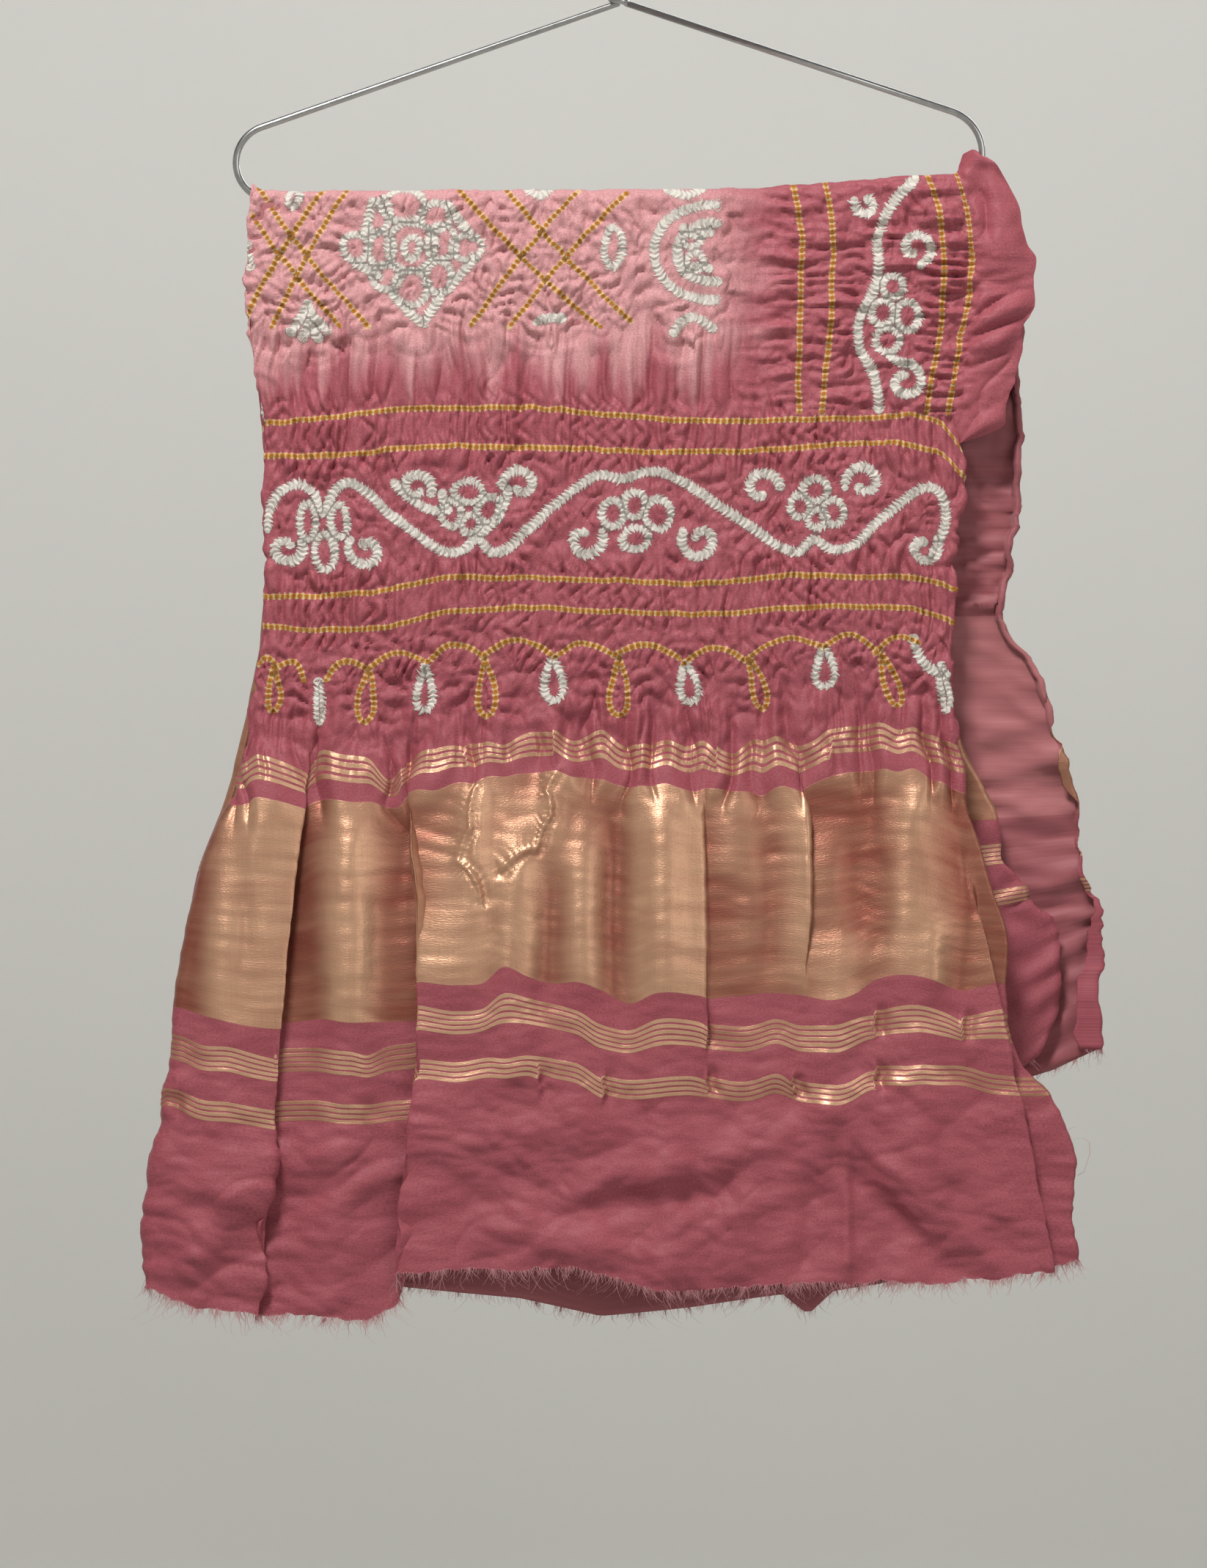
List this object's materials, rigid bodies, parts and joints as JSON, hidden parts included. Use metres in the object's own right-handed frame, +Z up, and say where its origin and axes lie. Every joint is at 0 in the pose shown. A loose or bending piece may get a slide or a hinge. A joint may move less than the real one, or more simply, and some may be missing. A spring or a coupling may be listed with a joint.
{
  "type": "bandhani cloth on a wire hanger",
  "caption": "Length of tie-dyed silk satin with woven gold bands and frayed ends, folded lengthwise and draped over a wire clothes hanger.",
  "frame": {"origin": "inside of the hook's crown, where the hook bears on a rail", "axes": "+X right as the front is seen, +Y to the back, +Z up along the hanging cloth"},
  "size_m": [0.5281, 0.0653, 0.8137],
  "materials": {
    "silk": "rose silk satin, tie-dyed, with gold zari bands",
    "wire": "bright drawn wire"
  },
  "bodies": {
    "root": {"bandhani_cloth": "silk", "hanger_wire": "wire"}
  },
  "joints": []
}
